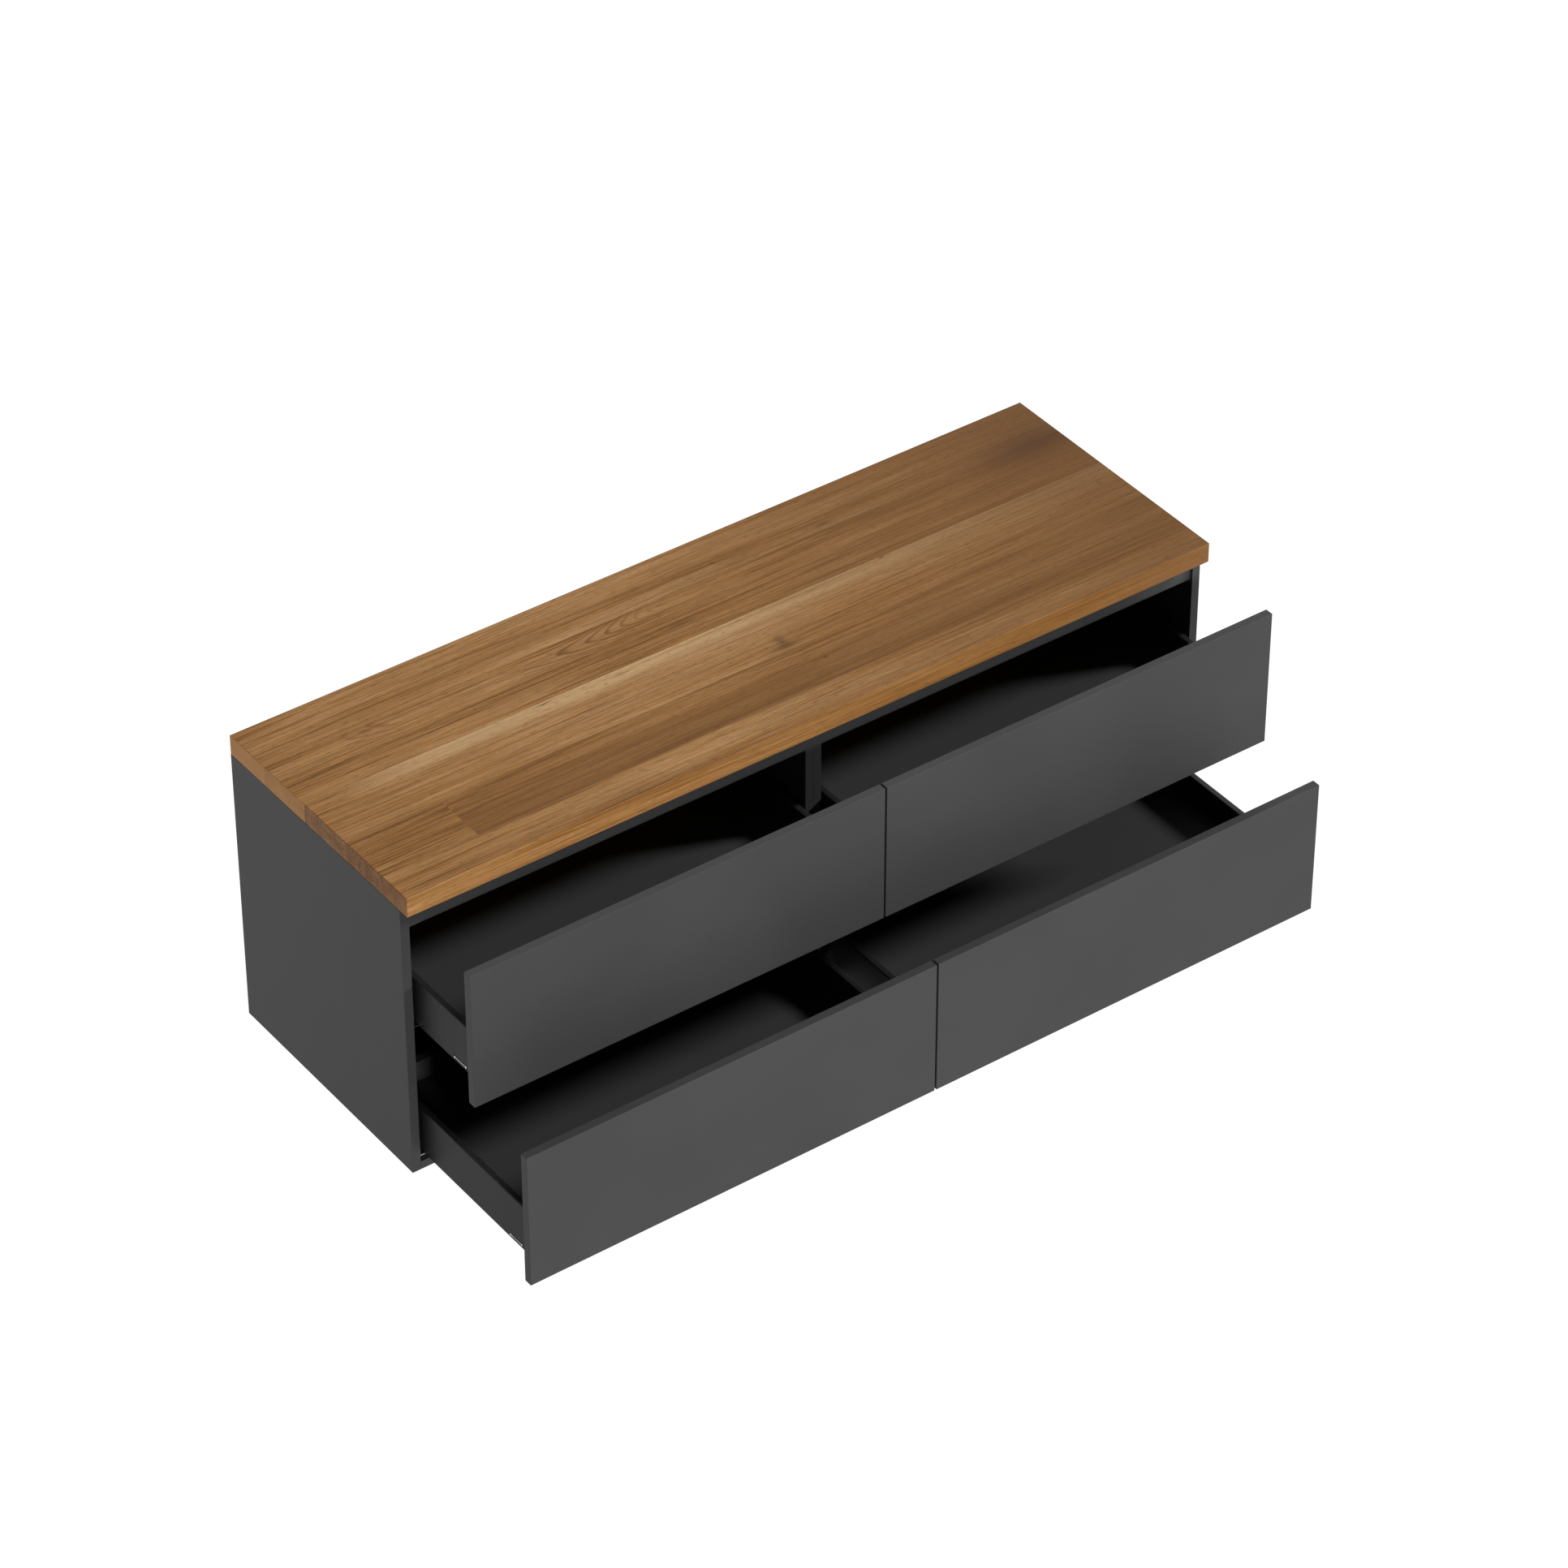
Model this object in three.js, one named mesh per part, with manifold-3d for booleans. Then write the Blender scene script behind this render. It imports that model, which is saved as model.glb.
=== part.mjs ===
// A wall-hung bathroom vanity: a board carcass with a solid wood worktop and four handle-less
// drawers, two columns of two, on concealed full-extension runners.
// Millimetres. +X is to the right, +Z is up, and -Y points out of the wall into the room.
// The origin is on the wall, in the middle of the hanging rail's back face.
// The drawers stand partly open: the upper pair less than the lower pair.
import * as THREE from "three";
import { mergeVertices } from "three/addons/utils/BufferGeometryUtils.js";
import Module from "manifold-3d";

const wasm = await Module();
wasm.setup();

// Worktop and carcass
const WIDTH = 1600;
const WORKTOP_DEPTH = 515;
const WORKTOP_THICKNESS = 38;
const WORKTOP_OVERHANG = 21; // how far the worktop stands out past the side panels
const CARCASS_HEIGHT = 542;
const BOARD = 16; // every carcass board, drawer front and drawer base
const FRONT_SETBACK = 5; // front rail and dividers behind the side panels' front edges
const FRONT_RAIL_HEIGHT = 44;
const HANGING_RAIL_HEIGHT = 100;
const LOWER_RAIL_HEIGHT = 80;
const TOUCH_GAP = 0.3; // between two pieces that rest against each other

// Drawer fronts
const END_REVEAL = 2.2; // from the worktop's end to the front's end
const CENTRE_GAP = 3.6; // between the left and right fronts
const BOTTOM_REVEAL = 2; // from the carcass's underside to the lower front
const ROW_GAP = 4; // between the lower and upper fronts
const TOP_GAP = 6; // from the upper front to the worktop
const BUMPER_GAP = 2; // from a closed front to the side panel's edge
const UPPER_OPEN = 173; // how far the upper drawers stand open
const LOWER_OPEN = 316; // how far the lower drawers stand open

// Drawer boxes
const SIDE_HEIGHT = 90.5;
const SIDE_THICKNESS = 12;
const SIDE_GAP = 8.5; // from the cabinet wall to the drawer side
const SIDE_EDGE_RADIUS = 2;
const SIDE_WALL = 1; // steel of its double wall
const SIDE_LIFT = 27; // from a front's lower edge to the drawer side's lower edge
const APRON_THICKNESS = 2; // outer skin that hides the runner
const RAIL_SPACE = 28; // height of the space for the runner under the drawer base
const PIPE_SPACE = 51; // from the wall to a closed drawer
const BACK_HEIGHT = 40; // of the drawer's back, above its base

// Runners
const STEEL = 1.5;
const RUN_CLEARANCE = 1; // between two members that slide past each other
const FLOOR_DROP = 2; // from the drawer side's lower edge down to the cabinet rail's floor
const FLANGE_HEIGHT = 30; // of the cabinet rail, up the cabinet wall
const CHANNEL_OFFSET = 3.5; // from the drawer side's inner face to the channel
const CHANNEL_WIDTH = 20;
const CABINET_LIP = 12; // of the cabinet rail's channel
const LIP_CLEARANCE = 2.2; // from the cabinet rail's lips up to the drawer rail's
const CABINET_RAIL_SETBACK = 3; // behind the side panels' front edges
const CABINET_RAIL_REAR = 10; // past a closed drawer's rear end
const MIDDLE_RAIL_SETBACK = 3; // behind the cabinet rail's front end, closed
const MIDDLE_RAIL_SHORTER = 31; // than the drawer
const DRAWER_RAIL_INSET = 3; // at both ends of the drawer

// Front catch of the drawer rail, which comes through the drawer side's outer skin
const CATCH_SETBACK = 38; // behind the drawer front's back face
const CATCH_LENGTH = 35;
const CATCH_THICKNESS = 3;
const CATCH_LIFT = 5; // above the drawer side's lower edge
const CATCH_PROUD = 1.5; // past the drawer side's outer face
const CATCH_CLEARANCE = 1; // all round it in its slot

// What follows from those sizes
const CARCASS_DEPTH = WORKTOP_DEPTH - WORKTOP_OVERHANG;
const INNER_HALF = WIDTH / 2 - BOARD; // to a side panel's inner face
const CARCASS_TOP = CARCASS_HEIGHT - TOUCH_GAP;
const FRONT_Y = FRONT_SETBACK - CARCASS_DEPTH; // front face of the front rail and dividers
const FRONT_RAIL_LOW = CARCASS_TOP - FRONT_RAIL_HEIGHT;
const HANGING_HEIGHT = CARCASS_TOP - HANGING_RAIL_HEIGHT / 2; // of the origin over the underside
const FRONT_HEIGHT = (CARCASS_HEIGHT - BOTTOM_REVEAL - ROW_GAP - TOP_GAP) / 2;
const FRONT_WIDTH = (WIDTH - CENTRE_GAP) / 2 - END_REVEAL;
const CLOSED_BACK_Y = -(CARCASS_DEPTH + BUMPER_GAP); // back face of a closed drawer front
const DRAWER_LENGTH = -CLOSED_BACK_Y - PIPE_SPACE;
const CHANNEL_START = SIDE_GAP + SIDE_THICKNESS + CHANNEL_OFFSET;
const CHANNEL_END = CHANNEL_START + CHANNEL_WIDTH;
const FLOOR_LOW = -FLOOR_DROP - STEEL;
const CABINET_LIP_TOP = FLOOR_LOW + STEEL + CABINET_LIP;
const DRAWER_PLATE_TOP = RAIL_SPACE - TOUCH_GAP;
const DRAWER_PLATE_LOW = DRAWER_PLATE_TOP - STEEL;
const DRAWER_LIP = DRAWER_PLATE_LOW - CABINET_LIP_TOP - LIP_CLEARANCE; // of its channel
const BASE_TOP = RAIL_SPACE + BOARD;

const ROWS = [
  { row: "upper", frontLow: BOTTOM_REVEAL + FRONT_HEIGHT + ROW_GAP, open: UPPER_OPEN },
  { row: "lower", frontLow: BOTTOM_REVEAL, open: LOWER_OPEN },
];
const COLUMNS = [
  { column: "left", frontLeft: END_REVEAL - WIDTH / 2, walls: [-INNER_HALF, -BOARD] },
  { column: "right", frontLeft: CENTRE_GAP / 2, walls: [BOARD, INNER_HALF] },
];

const material = (color, roughness, metalness) =>
  new THREE.MeshStandardMaterial({ color, roughness, metalness });
const wood = material(0x966c46, 0.45, 0);
const anthracite = material(0x525253, 0.6, 0);
const drawerSteel = material(0x4c4c4e, 0.5, 0.3);
const drawerBoard = material(0x3a3a3b, 0.7, 0);
const zincSteel = material(0xb8babd, 0.3, 1);

const carcass = new THREE.Group();
carcass.position.z = -HANGING_HEIGHT;

function piece(name, finish, geometry, parent) {
  const mesh = new THREE.Mesh(geometry, finish);
  mesh.name = name;
  parent.add(mesh);
  return mesh;
}

// A rectangular board between two corners, each given as [x, y, z].
function board(name, finish, low, high) {
  const size = high.map((value, axis) => value - low[axis]);
  const mesh = piece(name, finish, new THREE.BoxGeometry(...size), carcass);
  mesh.position.set(...low.map((value, axis) => value + size[axis] / 2));
}

const outline = (points) => new THREE.Shape(points.map(([a, b]) => new THREE.Vector2(a, b)));

// An outline in X and Z, run along Y from its rear end to its front end.
function runAlongY(shape, rearY, frontY) {
  const depth = rearY - frontY;
  const geometry = new THREE.ExtrudeGeometry(shape, { depth, bevelEnabled: false, curveSegments: 4 });
  geometry.rotateX(Math.PI / 2);
  geometry.translate(0, rearY, 0);
  return geometry;
}

// A closed geometry as a manifold-3d solid, and a solid as a geometry with flat faces.
function solidOf(geometry) {
  const bare = geometry.clone();
  bare.deleteAttribute("normal");
  bare.deleteAttribute("uv");
  const merged = mergeVertices(bare);
  return new wasm.Manifold(
    new wasm.Mesh({
      numProp: 3,
      vertProperties: merged.attributes.position.array,
      triVerts: new Uint32Array(merged.index.array),
    }),
  );
}

function geometryOf(solid) {
  const { vertProperties, triVerts } = solid.getMesh();
  const geometry = new THREE.BufferGeometry();
  geometry.setAttribute("position", new THREE.BufferAttribute(vertProperties, 3));
  geometry.setIndex(new THREE.BufferAttribute(triVerts, 1));
  const faceted = geometry.toNonIndexed();
  faceted.computeVertexNormals();
  return faceted;
}

function worktop() {
  board(
    "worktop",
    wood,
    [-WIDTH / 2, -WORKTOP_DEPTH, CARCASS_HEIGHT],
    [WIDTH / 2, 0, CARCASS_HEIGHT + WORKTOP_THICKNESS],
  );
}

function sidePanel(name, left, right) {
  board(name, anthracite, [left, -CARCASS_DEPTH, 0], [right, 0, CARCASS_TOP]);
}

// Boards that run between the two side panels.
function crossBoard(name, rearY, frontY, low, high) {
  const reach = INNER_HALF - TOUCH_GAP;
  board(name, anthracite, [-reach, frontY, low], [reach, rearY, high]);
}

// One of the two boards of the double divider, notched at the top for the front rail.
function divider(name, left) {
  const rearY = -BOARD - TOUCH_GAP;
  const floor = BOARD + TOUCH_GAP;
  const notchLow = FRONT_RAIL_LOW - TOUCH_GAP;
  const notchY = FRONT_Y + BOARD + TOUCH_GAP;
  const profile = outline([
    [FRONT_Y, floor],
    [rearY, floor],
    [rearY, CARCASS_TOP],
    [notchY, CARCASS_TOP],
    [notchY, notchLow],
    [FRONT_Y, notchLow],
  ]);
  const thickness = BOARD - TOUCH_GAP / 2;
  const geometry = new THREE.ExtrudeGeometry(profile, { depth: thickness, bevelEnabled: false });
  const yAxis = new THREE.Vector3(0, 1, 0);
  const zAxis = new THREE.Vector3(0, 0, 1);
  const xAxis = new THREE.Vector3(1, 0, 0);
  geometry.applyMatrix4(new THREE.Matrix4().makeBasis(yAxis, zAxis, xAxis));
  piece(name, anthracite, geometry, carcass).position.x = left;
}

// The shapes below are in X from the cabinet wall towards the drawer's middle, and in Z from the
// drawer side's lower edge.

const rectangle = (left, low, right, high) => [
  [left, low],
  [right, low],
  [right, high],
  [left, high],
];

// Folded steel drawer side: a hollow double wall with rounded upper edges, and an outer skin below.
function drawerSideShape() {
  const outer = SIDE_GAP;
  const inner = SIDE_GAP + SIDE_THICKNESS;
  const radius = SIDE_EDGE_RADIUS;
  const wall = SIDE_WALL;
  const shape = new THREE.Shape();
  shape.moveTo(outer, 0);
  shape.lineTo(outer + APRON_THICKNESS, 0);
  shape.lineTo(outer + APRON_THICKNESS, RAIL_SPACE);
  shape.lineTo(inner, RAIL_SPACE);
  shape.absarc(inner - radius, SIDE_HEIGHT - radius, radius, 0, Math.PI / 2, false);
  shape.absarc(outer + radius, SIDE_HEIGHT - radius, radius, Math.PI / 2, Math.PI, false);
  shape.closePath();
  const hollow = rectangle(outer + wall, RAIL_SPACE + wall, inner - wall, SIDE_HEIGHT - wall);
  shape.holes.push(outline(hollow));
  return shape;
}

// Cabinet rail: a flange on the cabinet wall, a floor that passes under the drawer side, and a
// channel that opens upwards.
function cabinetRailShape() {
  const floorTop = FLOOR_LOW + STEEL;
  return outline([
    [TOUCH_GAP, FLOOR_LOW],
    [CHANNEL_END, FLOOR_LOW],
    [CHANNEL_END, CABINET_LIP_TOP],
    [CHANNEL_END - STEEL, CABINET_LIP_TOP],
    [CHANNEL_END - STEEL, floorTop],
    [CHANNEL_START + STEEL, floorTop],
    [CHANNEL_START + STEEL, CABINET_LIP_TOP],
    [CHANNEL_START, CABINET_LIP_TOP],
    [CHANNEL_START, floorTop],
    [TOUCH_GAP + STEEL, floorTop],
    [TOUCH_GAP + STEEL, FLOOR_LOW + FLANGE_HEIGHT],
    [TOUCH_GAP, FLOOR_LOW + FLANGE_HEIGHT],
  ]);
}

// Middle rail: a steel tube between the two channels.
function middleRailShape() {
  const left = CHANNEL_START + STEEL + RUN_CLEARANCE;
  const right = CHANNEL_END - STEEL - RUN_CLEARANCE;
  const low = FLOOR_LOW + STEEL + RUN_CLEARANCE;
  const high = DRAWER_PLATE_LOW - RUN_CLEARANCE;
  const shape = outline(rectangle(left, low, right, high));
  const bore = rectangle(left + STEEL, low + STEEL, right - STEEL, high - STEEL);
  shape.holes.push(outline(bore));
  return shape;
}

// Drawer rail: a channel that opens downwards over the middle rail.
function drawerRailShape() {
  const lipLow = DRAWER_PLATE_LOW - DRAWER_LIP;
  return outline([
    [CHANNEL_START, lipLow],
    [CHANNEL_START + STEEL, lipLow],
    [CHANNEL_START + STEEL, DRAWER_PLATE_LOW],
    [CHANNEL_END - STEEL, DRAWER_PLATE_LOW],
    [CHANNEL_END - STEEL, lipLow],
    [CHANNEL_END, lipLow],
    [CHANNEL_END, DRAWER_PLATE_TOP],
    [CHANNEL_START, DRAWER_PLATE_TOP],
  ]);
}

// Catch: from the drawer rail's plate out to the drawer side, down behind its skin and through it.
function catchShape() {
  const legOuter = SIDE_GAP + APRON_THICKNESS + TOUCH_GAP;
  const legInner = legOuter + STEEL;
  const tip = SIDE_GAP - CATCH_PROUD;
  return outline([
    [tip, CATCH_LIFT],
    [legInner, CATCH_LIFT],
    [legInner, DRAWER_PLATE_LOW],
    [CHANNEL_START + STEEL, DRAWER_PLATE_LOW],
    [CHANNEL_START + STEEL, DRAWER_PLATE_TOP],
    [legOuter, DRAWER_PLATE_TOP],
    [legOuter, CATCH_LIFT + CATCH_THICKNESS],
    [tip, CATCH_LIFT + CATCH_THICKNESS],
  ]);
}

// The slot that the catch comes through.
function slotShape() {
  const margin = CATCH_CLEARANCE;
  return outline(
    rectangle(
      SIDE_GAP - margin,
      CATCH_LIFT - margin,
      SIDE_GAP + APRON_THICKNESS + margin,
      CATCH_LIFT + CATCH_THICKNESS + margin,
    ),
  );
}

// One side of a drawer with its runner, in a group that starts on the cabinet wall. The right-hand
// one is the left-hand one mirrored.
function drawerHalf(prefix, hand, wallX, sideLow, open) {
  const half = new THREE.Group();
  half.position.set(wallX, 0, sideLow);
  half.scale.x = hand === "l" ? 1 : -1;
  carcass.add(half);

  const frontY = CLOSED_BACK_Y - open + TOUCH_GAP;
  const rearY = CLOSED_BACK_Y - open + DRAWER_LENGTH;
  const catchFront = CLOSED_BACK_Y - open + CATCH_SETBACK;
  const catchRear = catchFront + CATCH_LENGTH;

  const side = solidOf(runAlongY(drawerSideShape(), rearY, frontY));
  const slot = runAlongY(slotShape(), catchRear + CATCH_CLEARANCE, catchFront - CATCH_CLEARANCE);
  const slotted = geometryOf(side.subtract(solidOf(slot)));
  piece(`${prefix}_side_${hand}`, drawerSteel, slotted, half);

  const railRear = rearY - DRAWER_RAIL_INSET;
  const railFront = frontY + DRAWER_RAIL_INSET;
  const rail = solidOf(runAlongY(drawerRailShape(), railRear, railFront));
  const lug = solidOf(runAlongY(catchShape(), catchRear, catchFront));
  piece(`${prefix}_drawer_rail_${hand}`, zincSteel, geometryOf(rail.add(lug)), half);

  const cabinetFront = CABINET_RAIL_SETBACK - CARCASS_DEPTH;
  const cabinetRear = CABINET_RAIL_REAR - PIPE_SPACE;
  const fixed = runAlongY(cabinetRailShape(), cabinetRear, cabinetFront);
  piece(`${prefix}_cabinet_rail_${hand}`, zincSteel, fixed, half);

  const middleFront = cabinetFront + MIDDLE_RAIL_SETBACK - open / 2;
  const middleRear = middleFront + DRAWER_LENGTH - MIDDLE_RAIL_SHORTER;
  const middle = runAlongY(middleRailShape(), middleRear, middleFront);
  piece(`${prefix}_middle_rail_${hand}`, zincSteel, middle, half);
}

// A drawer between two cabinet walls, with its front, base, back, sides and runners.
function drawer({ row, frontLow, open }, { column, frontLeft, walls }) {
  const prefix = `${row}_${column}`;
  const [leftWall, rightWall] = walls;
  const sideLow = frontLow + SIDE_LIFT;
  const backFace = CLOSED_BACK_Y - open;
  const boxInset = SIDE_GAP + SIDE_THICKNESS + TOUCH_GAP;
  const boxLeft = leftWall + boxInset;
  const boxRight = rightWall - boxInset;
  const rearY = backFace + DRAWER_LENGTH;
  const baseTop = sideLow + BASE_TOP;

  board(
    `${prefix}_front`,
    anthracite,
    [frontLeft, backFace - BOARD, frontLow],
    [frontLeft + FRONT_WIDTH, backFace, frontLow + FRONT_HEIGHT],
  );
  board(
    `${prefix}_base`,
    drawerBoard,
    [boxLeft, backFace + TOUCH_GAP, sideLow + RAIL_SPACE],
    [boxRight, rearY, baseTop],
  );
  board(
    `${prefix}_back`,
    drawerBoard,
    [boxLeft, rearY - BOARD, baseTop + TOUCH_GAP],
    [boxRight, rearY, baseTop + TOUCH_GAP + BACK_HEIGHT],
  );
  drawerHalf(prefix, "l", leftWall, sideLow, open);
  drawerHalf(prefix, "r", rightWall, sideLow, open);
}

worktop();
sidePanel("side_panel_left", -WIDTH / 2, -INNER_HALF);
sidePanel("side_panel_right", INNER_HALF, WIDTH / 2);
crossBoard("bottom_panel", 0, -CARCASS_DEPTH, 0, BOARD);
crossBoard("front_rail", FRONT_Y + BOARD, FRONT_Y, FRONT_RAIL_LOW, CARCASS_TOP);
crossBoard("hanging_rail", 0, -BOARD, CARCASS_TOP - HANGING_RAIL_HEIGHT, CARCASS_TOP);
const lowerRailLow = BOARD + TOUCH_GAP;
crossBoard("lower_back_rail", 0, -BOARD, lowerRailLow, lowerRailLow + LOWER_RAIL_HEIGHT);
divider("divider_left", -BOARD);
divider("divider_right", TOUCH_GAP / 2);
ROWS.forEach((row) => COLUMNS.forEach((column) => drawer(row, column)));

const vanity = new THREE.Group();
vanity.add(carcass);

export default vanity;
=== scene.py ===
# %% [markdown]
# # A wall-hung bathroom vanity
# This lesson dresses a bathroom vanity: a board carcass under a solid wood worktop, with four
# handle-less drawers on concealed runners. The solids that carry the load and the motion already
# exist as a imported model. Here each of them gets its finished shape and its finish.
# Everything is in metres, in the model's own frame: X runs to the right, Z runs up, and the room
# is on the -Y side of the wall.

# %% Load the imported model
import math

import bmesh
import bpy
from mathutils import Matrix, Vector


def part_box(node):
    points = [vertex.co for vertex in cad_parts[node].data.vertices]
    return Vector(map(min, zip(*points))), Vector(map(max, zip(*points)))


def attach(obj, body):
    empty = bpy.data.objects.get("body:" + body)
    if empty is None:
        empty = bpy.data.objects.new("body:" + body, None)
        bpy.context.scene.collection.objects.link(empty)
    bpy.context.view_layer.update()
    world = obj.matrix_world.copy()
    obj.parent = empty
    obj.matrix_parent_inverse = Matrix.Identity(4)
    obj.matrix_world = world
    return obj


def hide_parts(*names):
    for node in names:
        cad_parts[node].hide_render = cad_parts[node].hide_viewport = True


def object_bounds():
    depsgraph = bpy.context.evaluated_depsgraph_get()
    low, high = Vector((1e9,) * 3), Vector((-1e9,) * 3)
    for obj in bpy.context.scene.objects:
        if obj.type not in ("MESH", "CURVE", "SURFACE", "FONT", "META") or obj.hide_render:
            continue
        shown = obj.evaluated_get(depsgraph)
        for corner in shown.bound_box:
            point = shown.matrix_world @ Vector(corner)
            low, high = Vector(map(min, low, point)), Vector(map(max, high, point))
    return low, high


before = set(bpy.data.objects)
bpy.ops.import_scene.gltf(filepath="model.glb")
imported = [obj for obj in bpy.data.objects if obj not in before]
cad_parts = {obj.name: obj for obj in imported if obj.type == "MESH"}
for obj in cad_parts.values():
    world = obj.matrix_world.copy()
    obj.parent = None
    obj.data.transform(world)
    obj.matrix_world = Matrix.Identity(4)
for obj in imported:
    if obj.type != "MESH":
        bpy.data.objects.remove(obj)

solid_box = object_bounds()
MM = 0.001
print(f"{len(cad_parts)} solids in", [round(b - a, 3) for a, b in zip(*solid_box)], "m")

# %% [markdown]
# ## Camera
# The view is from the front left and from above, with a long lens, so that the edges hardly
# converge. A long lens suits furniture, because it keeps the proportions. The camera is placed by
# its distance and two angles, and it aims close to the middle of the cabinet.

# %% Camera
LENS = 139.71
VIEW_DISTANCE = 10.016
VIEW_AZIMUTH = math.radians(-36.08)
VIEW_ELEVATION = math.radians(37.93)
AIM_OFFSET = Vector((0.0214, 0.0352, 0.0526))


def make_camera():
    """A long lens on the cabinet from the front left, above."""
    camera = bpy.data.objects.new("camera", bpy.data.cameras.new("camera"))
    bpy.context.scene.collection.objects.link(camera)
    level = math.cos(VIEW_ELEVATION)
    back = Vector((math.sin(VIEW_AZIMUTH) * level, -math.cos(VIEW_AZIMUTH) * level,
                   math.sin(VIEW_ELEVATION)))
    aim = (solid_box[0] + solid_box[1]) / 2 + AIM_OFFSET
    camera.location = aim + back * VIEW_DISTANCE
    camera.rotation_mode = "QUATERNION"
    camera.rotation_quaternion = (-back).to_track_quat("-Z", "Y")
    camera.data.lens = LENS
    bpy.context.scene.camera = camera
    return camera


print("camera at", [round(c, 2) for c in make_camera().location])

# %% [markdown]
# ## Light
# Catalogue furniture is often shown on a glowing white sweep, so that the background
# comes out pure white and the piece stands free. The sweep also lights all upright faces from
# below. One soft key lamp stands to the right and a little in front. It draws the shadows of the
# drawer sides on the drawer bases. A weaker fill lamp stands low in front: it reaches the drawer
# fronts but not over them, and it makes no highlights of its own. The surroundings are white too,
# but only reflections see them, so that the insides of the drawers stay deep and dark.

# %% Light
KEY_FROM = Vector((0.844, -0.281, 0.457))
KEY_STRENGTH = 4.5
KEY_ANGLE = math.radians(10)
FILL_FROM = Vector((-0.20, -0.965, 0.20))
FILL_STRENGTH = 2.60
FILL_ANGLE = math.radians(7)
SURROUND_GLOW = 1.0
WHITE = (1.0, 1.0, 1.0, 1.0)


def sun(name, from_direction, strength, angle):
    """A parallel lamp whose disc is `angle` wide, shining from `from_direction`."""
    lamp = bpy.data.objects.new(name, bpy.data.lights.new(name, "SUN"))
    bpy.context.scene.collection.objects.link(lamp)
    lamp.data.energy = strength
    lamp.data.angle = angle
    lamp.rotation_mode = "QUATERNION"
    lamp.rotation_quaternion = (-from_direction).to_track_quat("-Z", "Y")
    return lamp


sun("key_lamp", KEY_FROM, KEY_STRENGTH, KEY_ANGLE)
fill_lamp = sun("fill_lamp", FILL_FROM, FILL_STRENGTH, FILL_ANGLE)
fill_lamp.visible_glossy = False
surroundings = bpy.data.worlds.new("studio")
surroundings.use_nodes = True
background = surroundings.node_tree.nodes["Background"]
background.inputs["Color"].default_value = WHITE
background.inputs["Strength"].default_value = SURROUND_GLOW
surroundings.cycles_visibility.diffuse = False
bpy.context.scene.world = surroundings
bpy.context.scene.view_settings.view_transform = "Standard"
print("key lamp", KEY_STRENGTH, "fill lamp", FILL_STRENGTH, "surroundings", SURROUND_GLOW)

# %% [markdown]
# ## Writing shader maths as sums
# A procedural finish is a lot of arithmetic on coordinates. `Wire` wraps one socket of a material
# and knows +, -, *, / and so on, so a pattern can be written as a formula. `Finish.node` makes any
# other node: its settings come first, because some of them change which sockets it has.

# %% Wire and Finish
class Wire:
    """One output socket of a finish, with the operators of arithmetic."""

    def __init__(self, finish, socket):
        self.finish = finish
        self.socket = socket

    def op(self, operation, *others):
        """A Math node with this socket first, and any others after it."""
        inputs = dict(enumerate((self, *others)))
        return self.finish.node("Math", {"operation": operation}, inputs)

    def __add__(self, other):
        return self.op("ADD", other)

    def __sub__(self, other):
        return self.op("SUBTRACT", other)

    def __mul__(self, other):
        return self.op("MULTIPLY", other)

    def __truediv__(self, other):
        return self.op("DIVIDE", other)

    def __pow__(self, other):
        return self.op("POWER", other)

    def __gt__(self, other):
        return self.op("GREATER_THAN", other)

    def __lt__(self, other):
        return self.op("LESS_THAN", other)

    def __abs__(self):
        return self.op("ABSOLUTE")

    def __rsub__(self, other):
        return self.finish.node("Math", {"operation": "SUBTRACT"}, {0: other, 1: self})

    def __rtruediv__(self, other):
        return self.finish.node("Math", {"operation": "DIVIDE"}, {0: other, 1: self})

    __radd__ = __add__
    __rmul__ = __mul__


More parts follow.
